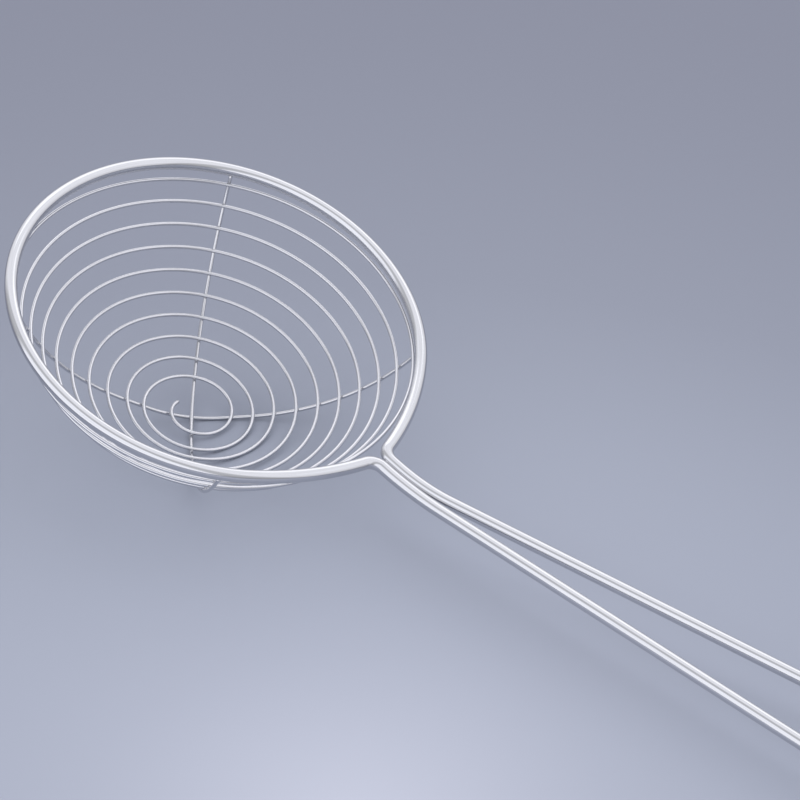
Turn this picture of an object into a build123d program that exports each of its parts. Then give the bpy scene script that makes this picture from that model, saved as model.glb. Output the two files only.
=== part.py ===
from build123d import *
import os
from itertools import combinations
from math import acos, asin, atan2, cos, degrees, pi, radians, sin, sqrt

os.makedirs("parts", exist_ok=True)

# Spider skimmer in bright stainless steel wire: a shallow bowl wound from one thin wire, held by two
# thin ribs under it, in a rim that runs on into a handle of two rods closed by a loop at its end.
# It is drawn with the middle of the rim at the origin, the rim level, the bowl hanging below it and
# the handle leaving along +X. The last step tips it and sets it down the way it lies on a table.
# Lengths are in millimetres, angles in degrees.

# Rim and handle, one wire
frame_wire_diameter = 5.0
rim_radius = 80.0             # to the middle of the wire
throat_heading = 38.0         # from here to the handle the rim is drawn out of its circle a little
throat_radius = 120.0
neck_bend_radius = 6.0        # where the rim turns out into the handle
neck_run = 1.0                # the rods lie side by side, still level
rise_bend_radius = 90.0       # the rods bend up out of the plane of the rim
handle_rise = 16.9            # up from the plane of the rim
handle_spread = 3.75          # each rod, away from the middle
spread_start = 4.0            # how far the rods have turned up when they begin to part
handle_run = 212.0            # the straight grip
end_bend_radius = 40.0
end_drop = 22.0               # the end of the handle bends down by this much
end_run = 6.0
loop_corner_radius = 12.0

# Basket wire, one spiral on a sphere that passes through the middle of the rim wire
thin_wire_diameter = 1.5
bowl_depth = 56.2             # from the plane of the rim to the middle of the wire at the bottom
spiral_turns = 10.12
spiral_start = 168.0          # heading of the inner end, counter-clockwise from the handle
spans_per_turn = 4
eye_shift = 3.2               # along the bowl from its lowest point to the middle of the winding
eye_shift_heading = 32.0
eye_reach = 23.9              # along the bowl from the middle of the winding to the first even turn
pitch_growth_share = 0.059946  # the even turns widen from 8.90 mm apart at the eye to 9.45 mm
seat_gap = 0.161739           # they would end this far short of the wire's seat against the rim
# The eye isn't round: the wire's reach at each quarter turn, as a share of the reach of the eye.
eye_reach_shares = (0.245, 0.413, 0.57, 0.674, 0.735, 0.904, 0.983, 1.0)

# Ribs, each in a plane square to the rim that passes the middle of the bowl by its offset
inner_rib_heading = 132.6
inner_rib_offset = -3.0
outer_rib_heading = 46.1
outer_rib_offset = -1.5
outer_rib_dip_radius = 50.0   # where the outer rib dips to pass beneath the inner one

# Wires that touch are this far apart, so that their solids stay separate
hairline = 0.05

# The round wires are swept as prisms of this many sides
frame_wire_sides = 12
thin_wire_sides = 6

# Only for measuring on points along a wire, and for setting it down on the table
points_per_edge = 12
tipping_rounds = 8


class WirePath:
    """The middle line of a bent wire: straight runs and arcs, each tangent to the last."""

    def __init__(self, start, heading):
        self.end = Vector(*start)
        self.heading = Vector(*heading).normalized()
        self.edges = []

    def run(self, length):
        start = self.end
        self.end = start + self.heading * length
        self.edges.append(Line(start, self.end))

    def bend(self, heading, radius):
        """An arc of this radius that turns the wire to a new heading."""
        heading = Vector(*heading).normalized()
        turn = acos(self.heading.dot(heading))
        inward = (heading - self.heading * cos(turn)).normalized()
        start = self.end
        self.end = start + self.heading * (radius * sin(turn)) + inward * (radius * (1 - cos(turn)))
        self.edges.append(TangentArc(start, self.end, tangent=self.heading))
        self.heading = heading

    def reach(self, point):
        """One arc from here to a point."""
        edge = TangentArc(self.end, point, tangent=self.heading)
        self.edges.append(edge)
        self.end = Vector(*point)
        self.heading = edge.tangent_at(1)

    def points(self):
        shares = [i / points_per_edge for i in range(points_per_edge)]
        return [edge.position_at(share) for edge in self.edges for share in shares] + [self.end]

    def length(self):
        return sum(edge.length for edge in self.edges)

    def wire(self, diameter, sides):
        """The solid wire, swept along the middle line."""
        first = self.edges[0]
        across = Plane(origin=first.position_at(0), z_dir=first.tangent_at(0))
        section = across * RegularPolygon(diameter / 2, sides)
        return sweep(section, path=Wire([edge.edge() for edge in self.edges])).solid()


def rod_heading(rise, spread):
    """The heading of one rod of the handle, from its rise and its spread, in degrees."""
    rise, spread = radians(rise), radians(spread)
    return (cos(rise) * cos(spread), sin(spread), sin(rise) * cos(spread))


def half_frame():
    """Half of the rim and handle wire, from the far side of the rim to the middle of the end loop."""
    rod_offset = frame_wire_diameter / 2 + hairline
    throat = radians(throat_heading)
    throat_offset = (throat_radius - rim_radius) * sin(throat)
    neck = asin((rod_offset + neck_bend_radius + throat_offset) / (throat_radius + neck_bend_radius))
    path = WirePath((-rim_radius, 0, 0), (0, 1, 0))
    path.bend((sin(throat), -cos(throat), 0), rim_radius)
    path.bend((sin(neck), -cos(neck), 0), throat_radius)
    path.bend((1, 0, 0), neck_bend_radius)
    path.run(neck_run)
    path.bend(rod_heading(spread_start, 0), rise_bend_radius)
    path.bend(rod_heading(handle_rise, handle_spread), rise_bend_radius)
    path.run(handle_run)
    path.bend(rod_heading(handle_rise - end_drop, handle_spread), end_bend_radius)
    path.run(end_run)
    path.bend((0, -1, 0), loop_corner_radius)
    path.run(path.end.Y)
    return path


# The sphere that the middle of the spiral wire lies on, and its centre above the plane of the rim
bowl_radius = (rim_radius**2 + bowl_depth**2) / (2 * bowl_depth)
bowl_centre = bowl_radius - bowl_depth


def rim_angle(radius, distance):
    """How far up the bowl from its lowest point, in radians, a point at this radius from the bowl's
    centre comes within this distance of the middle of the rim wire."""
    between = acos((radius**2 + bowl_radius**2 - distance**2) / (2 * radius * bowl_radius))
    return acos(bowl_centre / bowl_radius) - between


def spiral_path():
    """The basket wire, as two tangent arcs on each span between points a quarter turn apart, and a
    shorter last span that brings its end against the rim."""
    seat = rim_angle(bowl_radius, (frame_wire_diameter + thin_wire_diameter) / 2 + hairline)
    last_eye = len(eye_reach_shares) - 1
    eye_turns = last_eye / spans_per_turn
    even_turns = spiral_turns - eye_turns
    pitch = (bowl_radius * seat - seat_gap - eye_reach) / even_turns
    spans = int(spiral_turns * spans_per_turn)
    around, up = [], []
    for i, turns in enumerate([i / spans_per_turn for i in range(spans + 1)] + [spiral_turns]):
        even = turns - eye_turns
        growth = pitch_growth_share * (even / even_turns - 1) / 2
        if i <= last_eye:
            reach = eye_reach * eye_reach_shares[i]
        else:
            reach = eye_reach + pitch * even * (1 + growth)
        around.append(radians(spiral_start + 360 * turns))
        up.append(reach / bowl_radius)

    # The winding is turned about the middle of the bowl's sphere, so the rim lets its end farther up
    # on one side than on the other
    shift = eye_shift / bowl_radius
    shift_heading = radians(eye_shift_heading)
    shift_axis = Axis((0, 0, 0), (sin(shift_heading), -cos(shift_heading), 0))
    tipping = sin(shift) * cos(around[-1] - shift_heading)
    up[-1] = acos(cos(seat) / sqrt(cos(shift) ** 2 + tipping**2)) - atan2(tipping, cos(shift))

    # The wire's place and heading at each of these points, both on the sphere
    knots, tangents = [], []
    for i, (a, u) in enumerate(zip(around, up)):
        outward = Vector(sin(u) * cos(a), sin(u) * sin(a), -cos(u)).rotate(shift_axis, degrees(shift))
        knots.append(Vector(0, 0, bowl_centre) + outward * bowl_radius)
        if 0 < i < len(up) - 1:
            climb = (up[i + 1] - up[i - 1]) / (around[i + 1] - around[i - 1])
            uphill = Vector(cos(u) * cos(a), cos(u) * sin(a), sin(u))
            onward = Vector(-sin(a), cos(a), 0)
            tangent = uphill * climb + onward * sin(u)
            tangents.append(tangent.rotate(shift_axis, degrees(shift)).normalized())
    # The first and last spans are single arcs, so their outer headings mirror the inner ones
    first_chord = (knots[1] - knots[0]).normalized()
    last_chord = (knots[-1] - knots[-2]).normalized()
    tangents.insert(0, first_chord * (2 * first_chord.dot(tangents[0])) - tangents[0])
    tangents.append(last_chord * (2 * last_chord.dot(tangents[-1])) - tangents[-1])

    path = WirePath(knots[0], tangents[0])
    for start, end, leaving, arriving in zip(knots, knots[1:], tangents, tangents[1:]):
        chord = end - start
        along = chord.dot(leaving + arriving)
        opening = 2 * (1 - leaving.dot(arriving))
        arm = (sqrt(along**2 + opening * chord.dot(chord)) - along) / opening
        path.reach((start + leaving * arm + end - arriving * arm) * 0.5)
        path.reach(end)
    return path


# The ribs lie against the outside of the spiral, and their ends butt against the rim from below
rib_sphere_radius = bowl_radius + thin_wire_diameter + hairline
rib_end = rim_angle(rib_sphere_radius - thin_wire_diameter / 2, frame_wire_diameter / 2 + hairline)


def rib_path(heading, offset, dip, dip_radius):
    """A rib in a plane square to the rim, which passes the middle of the bowl by the offset. It
    follows the bowl, and dips at the middle by this much, on an arc of the dip's radius."""
    heading = radians(heading)
    plane_radius = sqrt(rib_sphere_radius**2 - offset**2)
    end = acos(rib_sphere_radius * cos(rib_end) / plane_radius)
    spare = plane_radius - dip_radius
    dip_side = acos(spare / (spare + dip))
    middle = Vector(-offset * sin(heading), offset * cos(heading), bowl_centre)

    def along(angle):
        """The heading in the rib's plane, from level, in radians."""
        return (cos(angle) * cos(heading), cos(angle) * sin(heading), sin(angle))

    start = middle - Vector(*along(0)) * (plane_radius * sin(end)) - Vector(0, 0, plane_radius * cos(end))
    path = WirePath(start, along(-end))
    if dip == 0:
        path.bend(along(end), plane_radius)
        return path
    path.bend(along(-dip_side), plane_radius)
    path.run(spare * sin(dip_side) / cos(dip_side))
    path.bend(along(dip_side), dip_radius)
    path.run(spare * sin(dip_side) / cos(dip_side))
    path.bend(along(end), plane_radius)
    return path


frame_half = half_frame()
spiral = spiral_path()
inner_rib = rib_path(inner_rib_heading, inner_rib_offset, 0, rib_sphere_radius)
outer_dip = thin_wire_diameter + 2 * hairline
outer_rib = rib_path(outer_rib_heading, outer_rib_offset, outer_dip, outer_rib_dip_radius)

# The least gap between two turns, on points at least half a turn of the wire apart
half_turn = points_per_edge * spans_per_turn
spiral_points = spiral.points()
turn_gap = min(
    (b - a).length for (i, a), (j, b) in combinations(enumerate(spiral_points), 2) if j - i > half_turn
)
print(f"least gap between the turns of the spiral: {turn_gap - thin_wire_diameter:.2f} mm")

# The solids
half = frame_half.wire(frame_wire_diameter, frame_wire_sides)
pieces = {
    "frame_wire": (half + mirror(half, about=Plane.XZ)).solid(),
    "spiral_basket_wire": spiral.wire(thin_wire_diameter, thin_wire_sides),
    "inner_rib": inner_rib.wire(thin_wire_diameter, thin_wire_sides),
    "outer_rib": outer_rib.wire(thin_wire_diameter, thin_wire_sides),
}
for name, path, diameter, sides, halves in (
    ("frame_wire", frame_half, frame_wire_diameter, frame_wire_sides, 2),
    ("spiral_basket_wire", spiral, thin_wire_diameter, thin_wire_sides, 1),
    ("inner_rib", inner_rib, thin_wire_diameter, thin_wire_sides, 1),
    ("outer_rib", outer_rib, thin_wire_diameter, thin_wire_sides, 1),
):
    expected = sides * sin(2 * pi / sides) * diameter**2 / 8 * path.length() * halves
    print(f"{name}: length {path.length() * halves:.1f} mm, volume {pieces[name].volume / expected:.4f}"
          " of its section times its length")


def lowest(points, tilt):
    """The lowest point of a wire when the rim dips towards the handle by this tilt."""
    return min(points, key=lambda point: point.Z * cos(tilt) - point.X * sin(tilt))


# It rests on the bottom of the bowl and the end of the handle. Each round tips it until the two
# points that were lowest stand at heights that bring their wires down to the table.
rest_tilt = 0
for tipping_round in range(tipping_rounds):
    bottom = lowest(spiral_points + inner_rib.points() + outer_rib.points(), rest_tilt)
    handle_end = lowest(frame_half.points(), rest_tilt)
    across, down = handle_end.X - bottom.X, bottom.Z - handle_end.Z
    thicker = (thin_wire_diameter - frame_wire_diameter) / 2
    rest_tilt = atan2(across, down) - acos(thicker / sqrt(across**2 + down**2))
print(f"at rest the rim dips towards the handle by {degrees(rest_tilt):.2f} degrees")

# Set down with the middle of its outline over the origin
tipped = {name: Rot(0, degrees(rest_tilt), 0) * piece for name, piece in pieces.items()}
box = Compound(list(tipped.values())).bounding_box()
print(f"box {box.size.X:.1f} x {box.size.Y:.1f} x {box.size.Z:.1f} mm")
to_origin = Pos(-box.center().X, -box.center().Y, -box.min.Z)
for name, piece in tipped.items():
    export_step(to_origin * piece, f"parts/{name}.step")
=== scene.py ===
# %% [markdown]
# # A spider skimmer of bright stainless steel wire
#
# The real tool is four bent wires and their spot welds: a thick wire that is both rim and handle, a
# thin one wound into the bowl, and two thin ribs under it. This lesson draws each wire again as a
# round tube along the same bends as the CAD part, and gives it the finish of drawn steel.
# Everything is in metres, in the same place as the CAD part, which stands on the table at z = 0.

from math import acos, asin, atan2, ceil, cos, pi, radians, sin, sqrt

import bpy
import numpy as np
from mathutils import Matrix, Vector


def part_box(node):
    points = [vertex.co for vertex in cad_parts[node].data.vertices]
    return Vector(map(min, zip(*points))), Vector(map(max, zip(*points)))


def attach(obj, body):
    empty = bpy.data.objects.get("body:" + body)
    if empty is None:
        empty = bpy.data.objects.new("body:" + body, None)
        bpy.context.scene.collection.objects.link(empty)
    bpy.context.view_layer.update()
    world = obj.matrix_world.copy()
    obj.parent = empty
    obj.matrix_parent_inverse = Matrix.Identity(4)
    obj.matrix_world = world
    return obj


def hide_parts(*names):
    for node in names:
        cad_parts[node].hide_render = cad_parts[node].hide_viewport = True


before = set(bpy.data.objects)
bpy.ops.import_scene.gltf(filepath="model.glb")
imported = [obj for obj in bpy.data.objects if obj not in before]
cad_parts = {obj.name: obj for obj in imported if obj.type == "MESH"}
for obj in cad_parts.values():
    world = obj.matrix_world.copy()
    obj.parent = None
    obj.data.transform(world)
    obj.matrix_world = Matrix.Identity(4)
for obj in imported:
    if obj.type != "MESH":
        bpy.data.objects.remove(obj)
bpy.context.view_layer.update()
print("CAD nodes:", sorted(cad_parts))

# %% [markdown]
# ## The camera
#
# The camera looks down over the rim from the side that the handle points towards, with a long lens,
# so that the far rods look hardly thinner than the near ones. It could be aimed with a tracking
# constraint; here it has a plain place and three turns, which give the same picture every time.

# %% Camera
camera_data = bpy.data.cameras.new("camera")
camera_data.sensor_width = 36
camera_data.lens = 131.05
camera = bpy.data.objects.new("camera", camera_data)
bpy.context.scene.collection.objects.link(camera)
camera.location = (0.49646, -0.67973, 0.66312)
camera.rotation_euler = (radians(55.335), radians(-1.654), radians(39.966))
bpy.context.scene.camera = camera
print("the camera stands", round(camera.location.length, 2), "m from the middle of the table")

# %% [markdown]
# ## The middle line of a bent wire
#
# A wire bender makes straight runs and arcs, each tangent to the last. The same two moves draw the
# middle line here. A curve object with a round bevel could do it too, but points made in code can
# also carry how far along the wire they are, which the drawn finish needs.

# %% Wire path
longest_step = 0.0015
most_turn = radians(4)


def vector(x, y, z):
    return np.array((x, y, z), float)


def unit(v):
    return v / np.linalg.norm(v)


def turned(axis, angle):
    """The matrix that turns points about an axis through the origin."""
    x, y, z = unit(axis)
    lever = np.array(((0, -z, y), (z, 0, -x), (-y, x, 0)))
    return np.eye(3) + sin(angle) * lever + (1 - cos(angle)) * lever @ lever


class WirePath:
    """Points along a bent wire, with the heading at each."""

    def __init__(self, start, heading):
        self.points = [start]
        self.headings = [unit(heading)]

    def run(self, length):
        start, heading = self.points[-1], self.headings[-1]
        steps = ceil(length / (4 * longest_step))
        for i in range(1, steps + 1):
            self.points.append(start + heading * (length * i / steps))
            self.headings.append(heading)

    def turn(self, inward, radius, angle):
        """An arc of this radius and angle towards a side that is square to the wire."""
        start, heading = self.points[-1], self.headings[-1]
        steps = ceil(max(angle / most_turn, radius * angle / longest_step))
        for i in range(1, steps + 1):
            part = angle * i / steps
            self.points.append(start + heading * (radius * sin(part)) + inward * (radius * (1 - cos(part))))
            self.headings.append(unit(heading * cos(part) + inward * sin(part)))

    def bend(self, heading, radius):
        """An arc of this radius that turns the wire to a new heading."""
        heading = unit(heading)
        angle = acos(heading @ self.headings[-1])
        self.turn(unit(heading - self.headings[-1] * cos(angle)), radius, angle)

    def reach(self, point):
        """One arc from here to a point."""
        chord, heading = point - self.points[-1], self.headings[-1]
        inward = unit(chord - heading * (chord @ heading))
        radius = chord @ chord / (2 * chord @ inward)
        self.turn(inward, radius, 2 * atan2(chord @ inward, chord @ heading))

    def length(self):
        return sum(np.linalg.norm(b - a) for a, b in zip(self.points, self.points[1:]))


print("a step along a wire is at most", longest_step * 1000, "mm")

# %% [markdown]
# ## The sizes of the skimmer
#
# These are the sizes that the CAD part is built from, in metres. The rim lies level at the origin
# while the wires are drawn, and the whole skimmer is then tipped onto its bowl and handle. The wires
# could be drawn where they lie, but on a level rim every size keeps its plain meaning.

# %% Sizes
frame_radius = 0.0025
thin_radius = 0.00075
hairline = 0.00005
rim_radius = 0.080
bowl_depth = 0.0562
bowl_radius = (rim_radius**2 + bowl_depth**2) / (2 * bowl_depth)
bowl_centre = bowl_radius - bowl_depth
middle_of_bowl = vector(0, 0, bowl_centre)


def rim_angle(radius, distance):
    """How far up the bowl a point at this radius comes within this distance of the rim wire."""
    between = acos((radius**2 + bowl_radius**2 - distance**2) / (2 * radius * bowl_radius))
    return acos(bowl_centre / bowl_radius) - between


print("the bowl is part of a sphere of", round(bowl_radius * 1000, 1), "mm radius")

# %% [markdown]
# ## Rim and handle, one wire
#
# One 5 mm wire makes the rim, turns out at the neck into two rods, and closes in a loop at the end
# of the handle. A ring and two rods could be joined instead, but the real neck is one smooth bend.
# The wire is the same on both sides, so only half of its middle line is drawn.

# %% Middle line of half the frame wire
throat_heading = radians(38)
throat_radius = 0.120
neck_radius = 0.006
neck_run = 0.001
rise_radius = 0.090
spread_start = 4
handle_rise, handle_spread, end_rise = 16.9, 3.75, -5.1
handle_run = 0.212
end_radius = 0.040
end_run = 0.006
loop_corner_radius = 0.012


def rod_heading(rise, spread):
    """The heading of one handle rod, from its rise and its spread in degrees."""
    rise, spread = radians(rise), radians(spread)
    return vector(cos(rise) * cos(spread), sin(spread), sin(rise) * cos(spread))


def half_frame_path():
    """From the far side of the rim, round one side and along one rod, to the middle of the loop."""
    throat_shift = (throat_radius - rim_radius) * sin(throat_heading)
    beside = frame_radius + hairline + neck_radius + throat_shift
    neck = asin(beside / (throat_radius + neck_radius))
    path = WirePath(vector(-rim_radius, 0, 0), vector(0, 1, 0))
    path.bend(vector(sin(throat_heading), -cos(throat_heading), 0), rim_radius)
    path.bend(vector(sin(neck), -cos(neck), 0), throat_radius)
    path.bend(vector(1, 0, 0), neck_radius)
    path.run(neck_run)
    path.bend(rod_heading(spread_start, 0), rise_radius)
    path.bend(rod_heading(handle_rise, handle_spread), rise_radius)
    path.run(handle_run)
    path.bend(rod_heading(end_rise, handle_spread), end_radius)
    path.run(end_run)
    path.bend(vector(0, -1, 0), loop_corner_radius)
    path.run(path.points[-1][1])
    return path


frame_path = half_frame_path()
print("the handle ends", round(frame_path.points[-1][0] * 1000, 1), "mm from the middle of the rim")

# %% [markdown]
# ## The spiral of the basket
#
# The basket wire starts with a free end in the eye and winds ten times round the bowl up to the rim.
# The eye isn't round, because the bender grips the wire there, and the turns after it are even. A
# formula for a spiral could draw the even turns, but not the eye. So the line goes through points a
# quarter turn apart, and two arcs join each pair without a kink. The free end is nearly straight.

# %% Middle line of the basket wire
spiral_turns = 10.12
spans_per_turn = 4
spiral_start = 168
eye_reach = 0.0239
eye_reach_shares = (0.245, 0.413, 0.57, 0.674, 0.735, 0.904, 0.983, 1.0)
pitch_growth_share = 0.059946
seat_gap = 0.000161739
free_end_heading, free_end_reach = radians(193), 0.0072
eye_shift = 0.0032 / bowl_radius
eye_heading = radians(32)
seat = rim_angle(bowl_radius, frame_radius + thin_radius + hairline)


def spiral_places():
    """How far round and how far up the bowl the wire is, at each quarter turn and at its end."""
    eye_turns = (len(eye_reach_shares) - 1) / spans_per_turn
    even_turns = spiral_turns - eye_turns
    pitch = (bowl_radius * seat - seat_gap - eye_reach) / even_turns
    whole_spans = int(spans_per_turn * spiral_turns)
    places = []
    for i, turns in enumerate([span / spans_per_turn for span in range(whole_spans + 1)] + [spiral_turns]):
        even = turns - eye_turns
        growth = pitch_growth_share * (even / even_turns - 1) / 2
        reach = eye_reach + pitch * even * (1 + growth)
        if i < len(eye_reach_shares):
            reach = eye_reach * eye_reach_shares[i]
        places.append([radians(spiral_start + 360 * turns), reach / bowl_radius])
    tipping = sin(eye_shift) * cos(places[-1][0] - eye_heading)
    level = acos(cos(seat) / sqrt(cos(eye_shift) ** 2 + tipping**2))
    places[-1][1] = level - atan2(tipping, cos(eye_shift))
    places[0] = [free_end_heading, free_end_reach / bowl_radius]
    return places


def spiral_path():
    """The basket wire, on a bowl whose winding is shifted a little from its lowest point."""
    places = spiral_places()
    shift = turned(vector(sin(eye_heading), -cos(eye_heading), 0), eye_shift)
    knots, tangents = [], []
    for i, (a, u) in enumerate(places):
        outward = shift @ vector(sin(u) * cos(a), sin(u) * sin(a), -cos(u))
        knots.append(middle_of_bowl + outward * bowl_radius)
        if 0 < i < len(places) - 1:
            climb = (places[i + 1][1] - places[i - 1][1]) / (places[i + 1][0] - places[i - 1][0])
            uphill = vector(cos(u) * cos(a), cos(u) * sin(a), sin(u))
            onward = vector(-sin(a), cos(a), 0)
            tangents.append(unit(shift @ (uphill * climb + onward * sin(u))))
    first, last = unit(knots[1] - knots[0]), unit(knots[-1] - knots[-2])
    tangents.insert(0, first * (2 * first @ tangents[0]) - tangents[0])
    tangents.append(last * (2 * last @ tangents[-1]) - tangents[-1])
    path = WirePath(knots[0], tangents[0])
    for start, end, leaving, arriving in zip(knots, knots[1:], tangents, tangents[1:]):
        chord = end - start
        along = chord @ (leaving + arriving)
        opening = 2 * (1 - leaving @ arriving)
        arm = (sqrt(along**2 + opening * chord @ chord) - along) / opening
        path.headings[-1] = leaving
        path.reach((start + leaving * arm + end - arriving * arm) / 2)
        path.reach(end)
    return path


basket_path = spiral_path()
print("the basket wire is", round(basket_path.length(), 3), "m long")

# %% [markdown]
# ## The two ribs
#
# Each rib is a thin wire bent to the outside of the bowl, in an upright plane. The outer one dips at
# the middle to pass beneath the inner one, and all four ends stop against the underside of the rim.
# Each could be one plain arc, but then the two would cut through each other where they cross.

# %% Middle lines of the ribs
rib_radius = bowl_radius + 2 * thin_radius + hairline
rib_end = rim_angle(rib_radius - thin_radius, frame_radius + hairline)
rib_planes = ((radians(132.6), -0.003), (radians(46.1), -0.0015))
dip_radius = 0.050


def rib_path(heading, offset, dip):
    """A rib in an upright plane with this heading, past the middle of the bowl by the offset."""
    plane_radius = sqrt(rib_radius**2 - offset**2)
    end = acos(rib_radius * cos(rib_end) / plane_radius)
    middle = vector(-offset * sin(heading), offset * cos(heading), bowl_centre)

    def along(angle):
        return vector(cos(angle) * cos(heading), cos(angle) * sin(heading), sin(angle))

    start = middle - along(0) * (plane_radius * sin(end)) - vector(0, 0, plane_radius * cos(end))
    path = WirePath(start, along(-end))
    if dip:
        spare = plane_radius - dip_radius
        dip_side = acos(spare / (spare + dip))
        path.bend(along(-dip_side), plane_radius)
        path.run(spare * sin(dip_side) / cos(dip_side))
        path.bend(along(dip_side), dip_radius)
        path.run(spare * sin(dip_side) / cos(dip_side))
    path.bend(along(end), plane_radius)
    return path


inner_rib_path = rib_path(*rib_planes[0], 0)
outer_rib_path = rib_path(*rib_planes[1], 2 * (thin_radius + hairline))
print("the ribs are", [round(rib.length(), 3) for rib in (inner_rib_path, outer_rib_path)], "m long")

# %% [markdown]
# ## Tipped onto the table
#
# The skimmer rests on the bottom of its bowl and the end of its handle. The CAD part was turned
# about the crosswise axis and moved, and the same turn and move put these wires in its place. The
# box of the CAD frame gives the move, so nothing has to be placed by hand.

# %% From the level rim to the table
rest_tilt = radians(19.42)
tip = turned(vector(0, 1, 0), rest_tilt)
low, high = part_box("frame_wire")
tipped_frame = np.array(frame_path.points) @ tip.T
move = vector(
    low.x + frame_radius - tipped_frame[:, 0].min(), 0, high.z - frame_radius - tipped_frame[:, 2].max())


def on_table(points):
    """Points of the level skimmer, where they lie once it is set down."""
    return np.array(points) @ tip.T + move


print("the middle of the rim stands at", (1000 * move).round(1), "mm")

# %% [markdown]
# ## Where the wires are welded
#
# Spot welds join the ribs to every turn that they cross, the ribs to each other, their ends to the
# rim and the outer end of the basket wire to the rim. They could be placed one by one, but a turn
# crosses a rib just where the basket wire goes through the rib's upright plane, so code finds them.

# %% Weld places
def crossings(heading, offset):
    """Where the basket wire touches a rib, as a point, the way outward there and the wire's heading."""
    across = vector(-sin(heading), cos(heading), 0)
    sides = [point @ across - offset for point in basket_path.points]
    found = []
    for i, (a, b) in enumerate(zip(sides, sides[1:])):
        if a * b < 0:
            before, after = basket_path.points[i], basket_path.points[i + 1]
            point = before + (after - before) * a / (a - b)
            outward = unit(point - middle_of_bowl)
            found.append((point + outward * (thin_radius + hairline / 2), outward, basket_path.headings[i]))
    return found


def to_rim(point):
    """The way from a point to the nearest place in the middle of the rim wire."""
    return unit(unit(point * (1, 1, 0)) * rim_radius - point)


crossing_welds = [weld for plane in rib_planes for weld in crossings(*plane)]
end_welds = []
for rib in (inner_rib_path, outer_rib_path):
    for tip_point, heading in ((rib.points[0], rib.headings[0]), (rib.points[-1], rib.headings[-1])):
        end_welds.append((tip_point, to_rim(tip_point), heading))
basket_end = basket_path.points[-1]
rim_side = to_rim(basket_end)
end_welds.append((basket_end + rim_side * thin_radius, rim_side, basket_path.headings[-1]))
weld_points = np.array([weld[0] for weld in crossing_welds + end_welds])
print(len(crossing_welds), "welded crossings and", len(end_welds), "welded ends")

# %% [markdown]
# ## From a line to a round wire
#
# Rings of points stand square to the line and are carried along it without twisting, so the fine
# lines that the drawing die leaves run true. Each point also remembers its place on the straight
# wire before it was bent, and how near it is to a weld. The cut ends have a small chamfer.

# %% Round wire
weld_reach = 0.0016
cut_face_share = 0.84
chamfer_share = 0.12


def heat_at(points):
    """How much a weld nearby has coloured the steel at each point, from 0 to 1."""
    nearest = np.full(len(points), np.inf)
    for weld in weld_points:
        nearest = np.minimum(nearest, ((points - weld) ** 2).sum(axis=1))
    return np.exp(-nearest / weld_reach**2)


def rings_of(path, radius, sides, side):
    """The rings of points round a wire, and how far along the wire each is."""
    round_angles = np.arange(sides) * 2 * pi / sides
    rings, along = [], [0.0]
    for i, (point, heading) in enumerate(zip(path.points, path.headings)):
        side = unit(side - heading * (side @ heading))
        across = np.cross(heading, side)
        spokes = np.outer(np.cos(round_angles), side) + np.outer(np.sin(round_angles), across)
        rings.append(point + radius * spokes)
        if i:
            along.append(along[-1] + np.linalg.norm(point - path.points[i - 1]))
    return rings, along


def faces_between(first, second, sides):
    """The faces between two rings of points that start at these numbers."""
    return [(first + k, first + (k + 1) % sides, second + (k + 1) % sides, second + k)
            for k in range(sides)]


def new_object(name, points, faces, straight, heats):
    """A smooth mesh object, with each point's place on the straight wire in mm and its heat."""
    mesh = bpy.data.meshes.new(name)
    mesh.from_pydata(on_table(points).tolist(), [], faces)
    places = 1000 * np.ravel(straight)
    mesh.attributes.new("unbent", "FLOAT_VECTOR", "POINT").data.foreach_set("vector", places)
    mesh.attributes.new("heat", "FLOAT", "POINT").data.foreach_set("value", heats)
    mesh.shade_smooth()
    made = bpy.data.objects.new(name, mesh)
    bpy.context.scene.collection.objects.link(made)
    print(name, "has", len(mesh.polygons), "faces")
    return made


def wire_object(name, rings, along, radius):
    """A round wire through the rings, closed with a chamfered face at each end that is open."""
    sides = len(rings[0])
    round_angles = np.arange(sides) * 2 * pi / sides
    points = np.concatenate(rings)
    straight = np.array([(radius * cos(a), radius * sin(a), s) for s in along for a in round_angles])
    faces = []
    for r in range(len(rings) - 1):
        faces += faces_between(r * sides, (r + 1) * sides, sides)
    for r, beside, order in ((0, 1, -1), (len(rings) - 1, len(rings) - 2, 1)):
        if np.allclose(rings[0], rings[-1]):
            continue
        centre = rings[r].mean(axis=0)
        chamfer = unit(centre - rings[beside].mean(axis=0)) * radius * chamfer_share
        cap = len(points)
        points = np.concatenate((points, centre + (rings[r] - centre) * cut_face_share + chamfer))
        straight = np.concatenate((straight, straight[r * sides:(r + 1) * sides]))
        faces += [face[::order] for face in faces_between(r * sides, cap, sides)]
        faces.append(tuple(range(cap, cap + sides))[::order])
    return new_object(name, points, faces, straight, heat_at(points))


print("welds colour the steel within about", weld_reach * 1000, "mm")

# %% [markdown]
# ## The four wires
#
# The thin wires are open, with two cut ends each. The frame wire is a closed loop: its drawn half
# is mirrored, and both halves share the rings where they meet. A Mirror modifier could do that too,
# but it would have to merge a seam, and here there is none.

# %% Wires
frame_sides, thin_sides = 36, 16


def thin_wire(name, path):
    rings, along = rings_of(path, thin_radius, thin_sides, middle_of_bowl - path.points[0])
    return wire_object(name, rings, along, thin_radius)


half_rings, half_along = rings_of(frame_path, frame_radius, frame_sides, vector(0, 0, 1))
other_rings = [ring * (1, -1, 1) for ring in reversed(half_rings[:-1])]
round_frame = wire_object(
    "rim_and_handle_wire", half_rings + other_rings, half_along + half_along[-2::-1], frame_radius)
round_basket = thin_wire("wound_basket_wire", basket_path)
round_inner_rib = thin_wire("inner_rib_wire", inner_rib_path)
round_outer_rib = thin_wire("outer_rib_wire", outer_rib_path)

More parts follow.
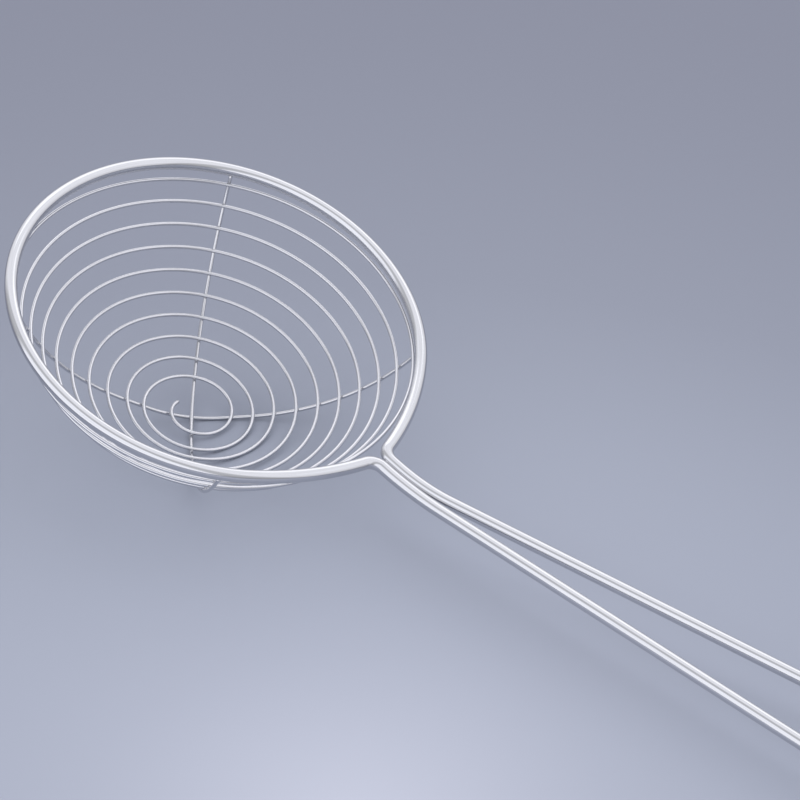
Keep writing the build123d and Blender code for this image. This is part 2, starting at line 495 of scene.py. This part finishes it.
# %% [markdown]
# ## Shader sums as plain Python
#
# A finish is a sum of patterns. Its nodes could be placed and linked one by one, but sums are easier
# to read as sums. This small class wraps a socket, so that `1 - mask` or `lines * 0.3` adds the node
# that works it out, and `node` makes every other node.

# %% Sockets and nodes
class Socket:
    """An output of a shader node that can be added, multiplied and taken away."""

    def __init__(self, nodes, output):
        self.nodes, self.output = nodes, output

    def maths(self, operation, first, second):
        return self.nodes.node("ShaderNodeMath", {"operation": operation}, {0: first, 1: second})

    def __add__(self, other):
        return self.maths("ADD", self, other)

    def __radd__(self, other):
        return self.maths("ADD", other, self)

    def __sub__(self, other):
        return self.maths("SUBTRACT", self, other)

    def __rsub__(self, other):
        return self.maths("SUBTRACT", other, self)

    def __mul__(self, other):
        return self.maths("MULTIPLY", self, other)

    def __rmul__(self, other):
        return self.maths("MULTIPLY", other, self)


class Nodes:
    """The nodes of one material or world."""

    def __init__(self, tree):
        self.tree = tree
        tree.nodes.clear()

    def node(self, kind, settings, values, output=0):
        made = self.tree.nodes.new(kind)
        for setting, value in settings.items():
            if setting == "stops":
                for i, (position, colour) in enumerate(value):
                    stops = made.color_ramp.elements
                    stop = stops[i] if i < 2 else stops.new(position)
                    stop.position, stop.color = position, colour
            else:
                setattr(made, setting, value)
        for place, value in values.items():
            if isinstance(value, Socket):
                self.tree.links.new(value.output, made.inputs[place])
            else:
                made.inputs[place].default_value = value
        return Socket(self, made.outputs[output]) if len(made.outputs) else made

    def mix(self, share, first, second):
        """A colour between two colours."""
        return self.node("ShaderNodeMix", {"data_type": "RGBA"}, {0: share, 6: first, 7: second}, 2)

    def noise(self, place, stretch, detail):
        """A pattern of values round one half, in patches of about one over the stretch."""
        stretched = self.node("ShaderNodeVectorMath", {"operation": "MULTIPLY"}, {0: place, 1: stretch})
        return self.node("ShaderNodeTexNoise", {}, {"Vector": stretched, "Scale": 1.0, "Detail": detail})

    def ramp(self, value, stops):
        return self.node("ShaderNodeValToRGB", {"stops": stops}, {0: value})


print("sockets and nodes are ready")

# %% [markdown]
# ## Drawn stainless steel
#
# Wire is pulled through a die, which leaves it bright, with hairlines that run along it. Handling
# adds faint cloudy patches that are a little less smooth, and a spot weld leaves a small dull stain.
# An anisotropic shader could stretch the glints, but the photograph shows clear bands, so the
# hairlines are noise on the unbent wire, long in one direction and fine in the others.

# %% Steel
die_line_share = 0.55
die_line_darkness = 0.86
weld_stain = (0.40, 0.37, 0.355, 1.0)


def drawn_steel(name, colour, polish):
    """Bright steel with die lines along the wire. The polish is its roughness where it is clean."""
    material = bpy.data.materials.new(name)
    material.use_nodes = True
    nodes = Nodes(material.node_tree)
    unbent = nodes.node("ShaderNodeAttribute", {"attribute_name": "unbent"}, {}, "Vector")
    heat = nodes.node("ShaderNodeAttribute", {"attribute_name": "heat"}, {}, "Fac")
    place = nodes.node("ShaderNodeTexCoord", {}, {}, "Object")
    lines = nodes.noise(unbent, stretch=(6.0, 6.0, 0.05), detail=3.0)
    scuffs = nodes.noise(unbent, stretch=(1.6, 1.6, 0.35), detail=4.0)
    clouds = nodes.noise(place, stretch=(45.0, 45.0, 45.0), detail=2.0)
    dull = [die_line_darkness * c for c in colour] + [1.0]
    line_mark = nodes.ramp(lines, [(0.36, (1, 1, 1, 1)), (0.52, (0, 0, 0, 1))])
    clean = nodes.mix(line_mark * die_line_share, (*colour, 1.0), dull)
    stained = nodes.mix(heat * (0.25 + 0.35 * scuffs), clean, weld_stain)
    roughness = polish + 0.12 * (clouds - 0.45) + 0.10 * (scuffs - 0.5) + 0.16 * heat
    bump = nodes.node("ShaderNodeBump", {}, {
        "Height": lines + 0.6 * scuffs, "Strength": 0.05, "Distance": 0.00004})
    steel = nodes.node("ShaderNodeBsdfPrincipled", {}, {
        "Base Color": stained, "Metallic": 1.0, "Roughness": roughness, "Normal": bump})
    nodes.node("ShaderNodeOutputMaterial", {}, {"Surface": steel})
    print(name, "has", len(material.node_tree.nodes), "nodes")
    return material


thick_steel = drawn_steel("drawn_steel_thick_wire", (0.659, 0.661, 0.676), polish=0.09)
basket_steel = drawn_steel("drawn_steel_basket_wire", (0.671, 0.673, 0.694), polish=0.12)
rib_steel = drawn_steel("drawn_steel_rib_wire", (0.647, 0.649, 0.665), polish=0.14)

# %% [markdown]
# ## Spot welds
#
# Two wires are pressed together while a current melts the spot where they touch. A little steel is
# squeezed out round it. A Boolean union with a fillet could make that, but slowly, and much the same
# everywhere. So each weld is a small uneven button between the two wires, flattened along the line
# that joins them. Its surface is dull where it was molten.

# %% Welds
button_sides, button_levels = 12, 7
button_unevenness = 0.09
button_heat = 0.75


def button_points(centre, outward, heading, sizes, chance):
    """The points of one button. The sizes are along the heading, across it and outward."""
    across = unit(np.cross(outward, heading))
    heading = np.cross(across, outward)
    points = [centre - outward * sizes[2]]
    for level in range(1, button_levels):
        up = pi * level / button_levels
        for k in range(button_sides):
            spread = sin(up) * (1 + chance.uniform(-button_unevenness, button_unevenness))
            a = 2 * pi * k / button_sides
            onward, aside = sizes[0] * spread * cos(a), sizes[1] * spread * sin(a)
            points.append(centre + heading * onward + across * aside - outward * (sizes[2] * cos(up)))
    return points + [centre + outward * sizes[2]]


def button_faces(first):
    """The faces of one button whose points start at this number."""
    sides = range(button_sides)
    faces = [(first, first + 1 + (k + 1) % button_sides, first + 1 + k) for k in sides]
    for level in range(button_levels - 2):
        low = first + 1 + level * button_sides
        faces += faces_between(low, low + button_sides, button_sides)
    last = first + 1 + (button_levels - 2) * button_sides
    return faces + [(last + k, last + (k + 1) % button_sides, last + button_sides) for k in sides]


def weld_object(name, welds, sizes):
    chance = np.random.default_rng(7)
    points, faces = [], []
    for centre, outward, heading in welds:
        faces += button_faces(len(points))
        points += button_points(centre, outward, heading, sizes, chance)
    return new_object(name, points, faces, points, [button_heat] * len(points))


crossing_buttons = weld_object("crossing_welds", crossing_welds, (0.00062, 0.00062, 0.00036))
end_buttons = weld_object("end_welds", end_welds, (0.0010, 0.0010, 0.0007))

# %% [markdown]
# ## Onto the CAD part
#
# Each round wire stands for the CAD node that it follows and hides it, takes its steel finish and moves
# with the one body of the part. The welds have no CAD node of their own.

# %% Pieces, nodes and slots
for piece, node, slot, material in (
    (round_frame, "frame_wire", "frame_wire", thick_steel),
    (round_basket, "spiral_basket_wire", "basket_wire", basket_steel),
    (round_inner_rib, "inner_rib", "rib_wire", rib_steel),
    (round_outer_rib, "outer_rib", "rib_wire", rib_steel),
    (crossing_buttons, None, "rib_wire", rib_steel),
    (end_buttons, None, "rib_wire", rib_steel),
):
    piece.data.materials.append(material)
    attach(piece, "root")
    if node:
        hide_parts(node)
        low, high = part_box(node)
        corners = [piece.matrix_world @ Vector(corner) for corner in piece.bound_box]
        away = max(abs(min(c[i] for c in corners) - low[i]) for i in range(3))
        print(piece.name, "starts within", round(away * 1000, 2), "mm of its CAD node")

# %% [markdown]
# ## The table
#
# The table is one pale sheet, large enough to fill the view. A pool of light is painted into its colour:
# the sheet is palest just in front of the handle, where the light is strongest, and darker with the
# distance from that point, and the painted pool stays in its place from every side. A spot lamp could
# light such a pool, but it would also light the wires.

# %% Table
floor_size = 6.0
# The centre of the pool of light that is painted on the table.
painted_light_centre = (0.04, -0.131, 0.0)
floor_mesh = bpy.data.meshes.new("table_top")
half = floor_size / 2
floor_corners = [(-half, -half, 0), (half, -half, 0), (half, half, 0), (-half, half, 0)]
floor_mesh.from_pydata(floor_corners, [], [(0, 1, 2, 3)])
floor = bpy.data.objects.new("table_top", floor_mesh)
bpy.context.scene.collection.objects.link(floor)
floor_material = bpy.data.materials.new("pale_table_with_painted_light")
floor_material.use_nodes = True
floor_nodes = Nodes(floor_material.node_tree)
floor_place = floor_nodes.node("ShaderNodeTexCoord", {}, {}, "Object")
distance_from_painted_light = floor_nodes.node(
    "ShaderNodeVectorMath", {"operation": "DISTANCE"}, {0: floor_place, 1: painted_light_centre}, "Value")
# This ramp paints the pool of light: palest at its centre, darker with the distance from it.
painted_light_floor_colour = floor_nodes.ramp(distance_from_painted_light, [
    (0.0, (0.588, 0.606, 0.688, 1)), (0.09, (0.406, 0.432, 0.508, 1)), (0.20, (0.380, 0.407, 0.480, 1)),
    (0.34, (0.279, 0.297, 0.357, 1)), (0.60, (0.220, 0.231, 0.285, 1))])
painted_light_floor_colour.output.node.color_ramp.interpolation = "B_SPLINE"
floor_shader = floor_nodes.node("ShaderNodeBsdfPrincipled", {}, {
    "Base Color": painted_light_floor_colour, "Roughness": 0.6, "Specular IOR Level": 0.2})
floor_nodes.node("ShaderNodeOutputMaterial", {}, {"Surface": floor_shader})
floor_mesh.materials.append(floor_material)
print("the table is", floor_size, "m wide")

# %% [markdown]
# ## The lamp
#
# One wide lamp stands high behind the skimmer. It could be a small bright one, but then the shadows
# would have hard edges. A lamp as wide as this lays the faint shadow of the bowl and of the handle
# that the photograph shows, and glints softly on the wires.

# %% Lamp
lamp_place, bowl_place = Vector((-0.75, 0.95, 0.95)), Vector((-0.13, 0.0, 0.04))
lamp_width, lamp_height = 1.5, 0.7
lamp_brightness = 0.425
lamp_data = bpy.data.lights.new("lamp_behind", "AREA")
lamp_data.shape = "RECTANGLE"
lamp_data.size, lamp_data.size_y = lamp_width, lamp_height
lamp_data.energy = lamp_brightness * pi * lamp_width * lamp_height
lamp = bpy.data.objects.new("lamp_behind", lamp_data)
bpy.context.scene.collection.objects.link(lamp)
lamp.location = lamp_place
lamp.rotation_euler = (bowl_place - lamp_place).to_track_quat("-Z", "Y").to_euler()
print("the lamp behind the skimmer has", round(lamp_data.energy, 1), "W")

# %% [markdown]
# ## The room
#
# Bright wire is seen by what it mirrors, and this world is the room that it mirrors. The room is
# white behind the skimmer and overhead, grey a little in front of that, and white again low in
# front. So each wire has a white upper band, a grey line and a second white band below it. Each
# white part could be a lamp of its own, but ramps over the direction make one smooth room.

# %% World
world = bpy.data.worlds.new("studio")
bpy.context.scene.world = world
world.use_nodes = True
world_nodes = Nodes(world.node_tree)
direction = world_nodes.node("ShaderNodeTexCoord", {}, {}, "Generated")
backward = world_nodes.node("ShaderNodeSeparateXYZ", {}, {0: direction}, "Y")
upward = world_nodes.node("ShaderNodeSeparateXYZ", {}, {0: direction}, "Z")
front_to_back = 0.5 * backward + 0.5
room = world_nodes.ramp(front_to_back, [
    (0.20, (1.28, 1.30, 1.40, 1)), (0.27, (0.68, 0.69, 0.73, 1)), (0.42, (0.68, 0.69, 0.73, 1)),
    (0.50, (1.14, 1.15, 1.225, 1))])
lower = world_nodes.ramp(upward, [(0.0, (0.66, 0.66, 0.66, 1)), (0.5, (1, 1, 1, 1))])
in_front = world_nodes.ramp(front_to_back, [(0.20, (1, 1, 1, 1)), (0.30, (0, 0, 0, 1))])
dimming = world_nodes.node("ShaderNodeVectorMath", {"operation": "MAXIMUM"}, {0: lower, 1: in_front})
room = world_nodes.node("ShaderNodeVectorMath", {"operation": "MULTIPLY"}, {0: room, 1: dimming})
background = world_nodes.node("ShaderNodeBackground", {}, {"Color": room, "Strength": 1.0})
world_nodes.node("ShaderNodeOutputWorld", {}, {"Surface": background})
print("the room is white behind and overhead, then grey, and white again low in front")

# %% [markdown]
# ## The view
#
# Colours could be shown with a film look, which softens bright steel. They are shown as they are
# worked out, so that they match the ones written here.

# %% View
bpy.context.scene.view_settings.view_transform = "Standard"
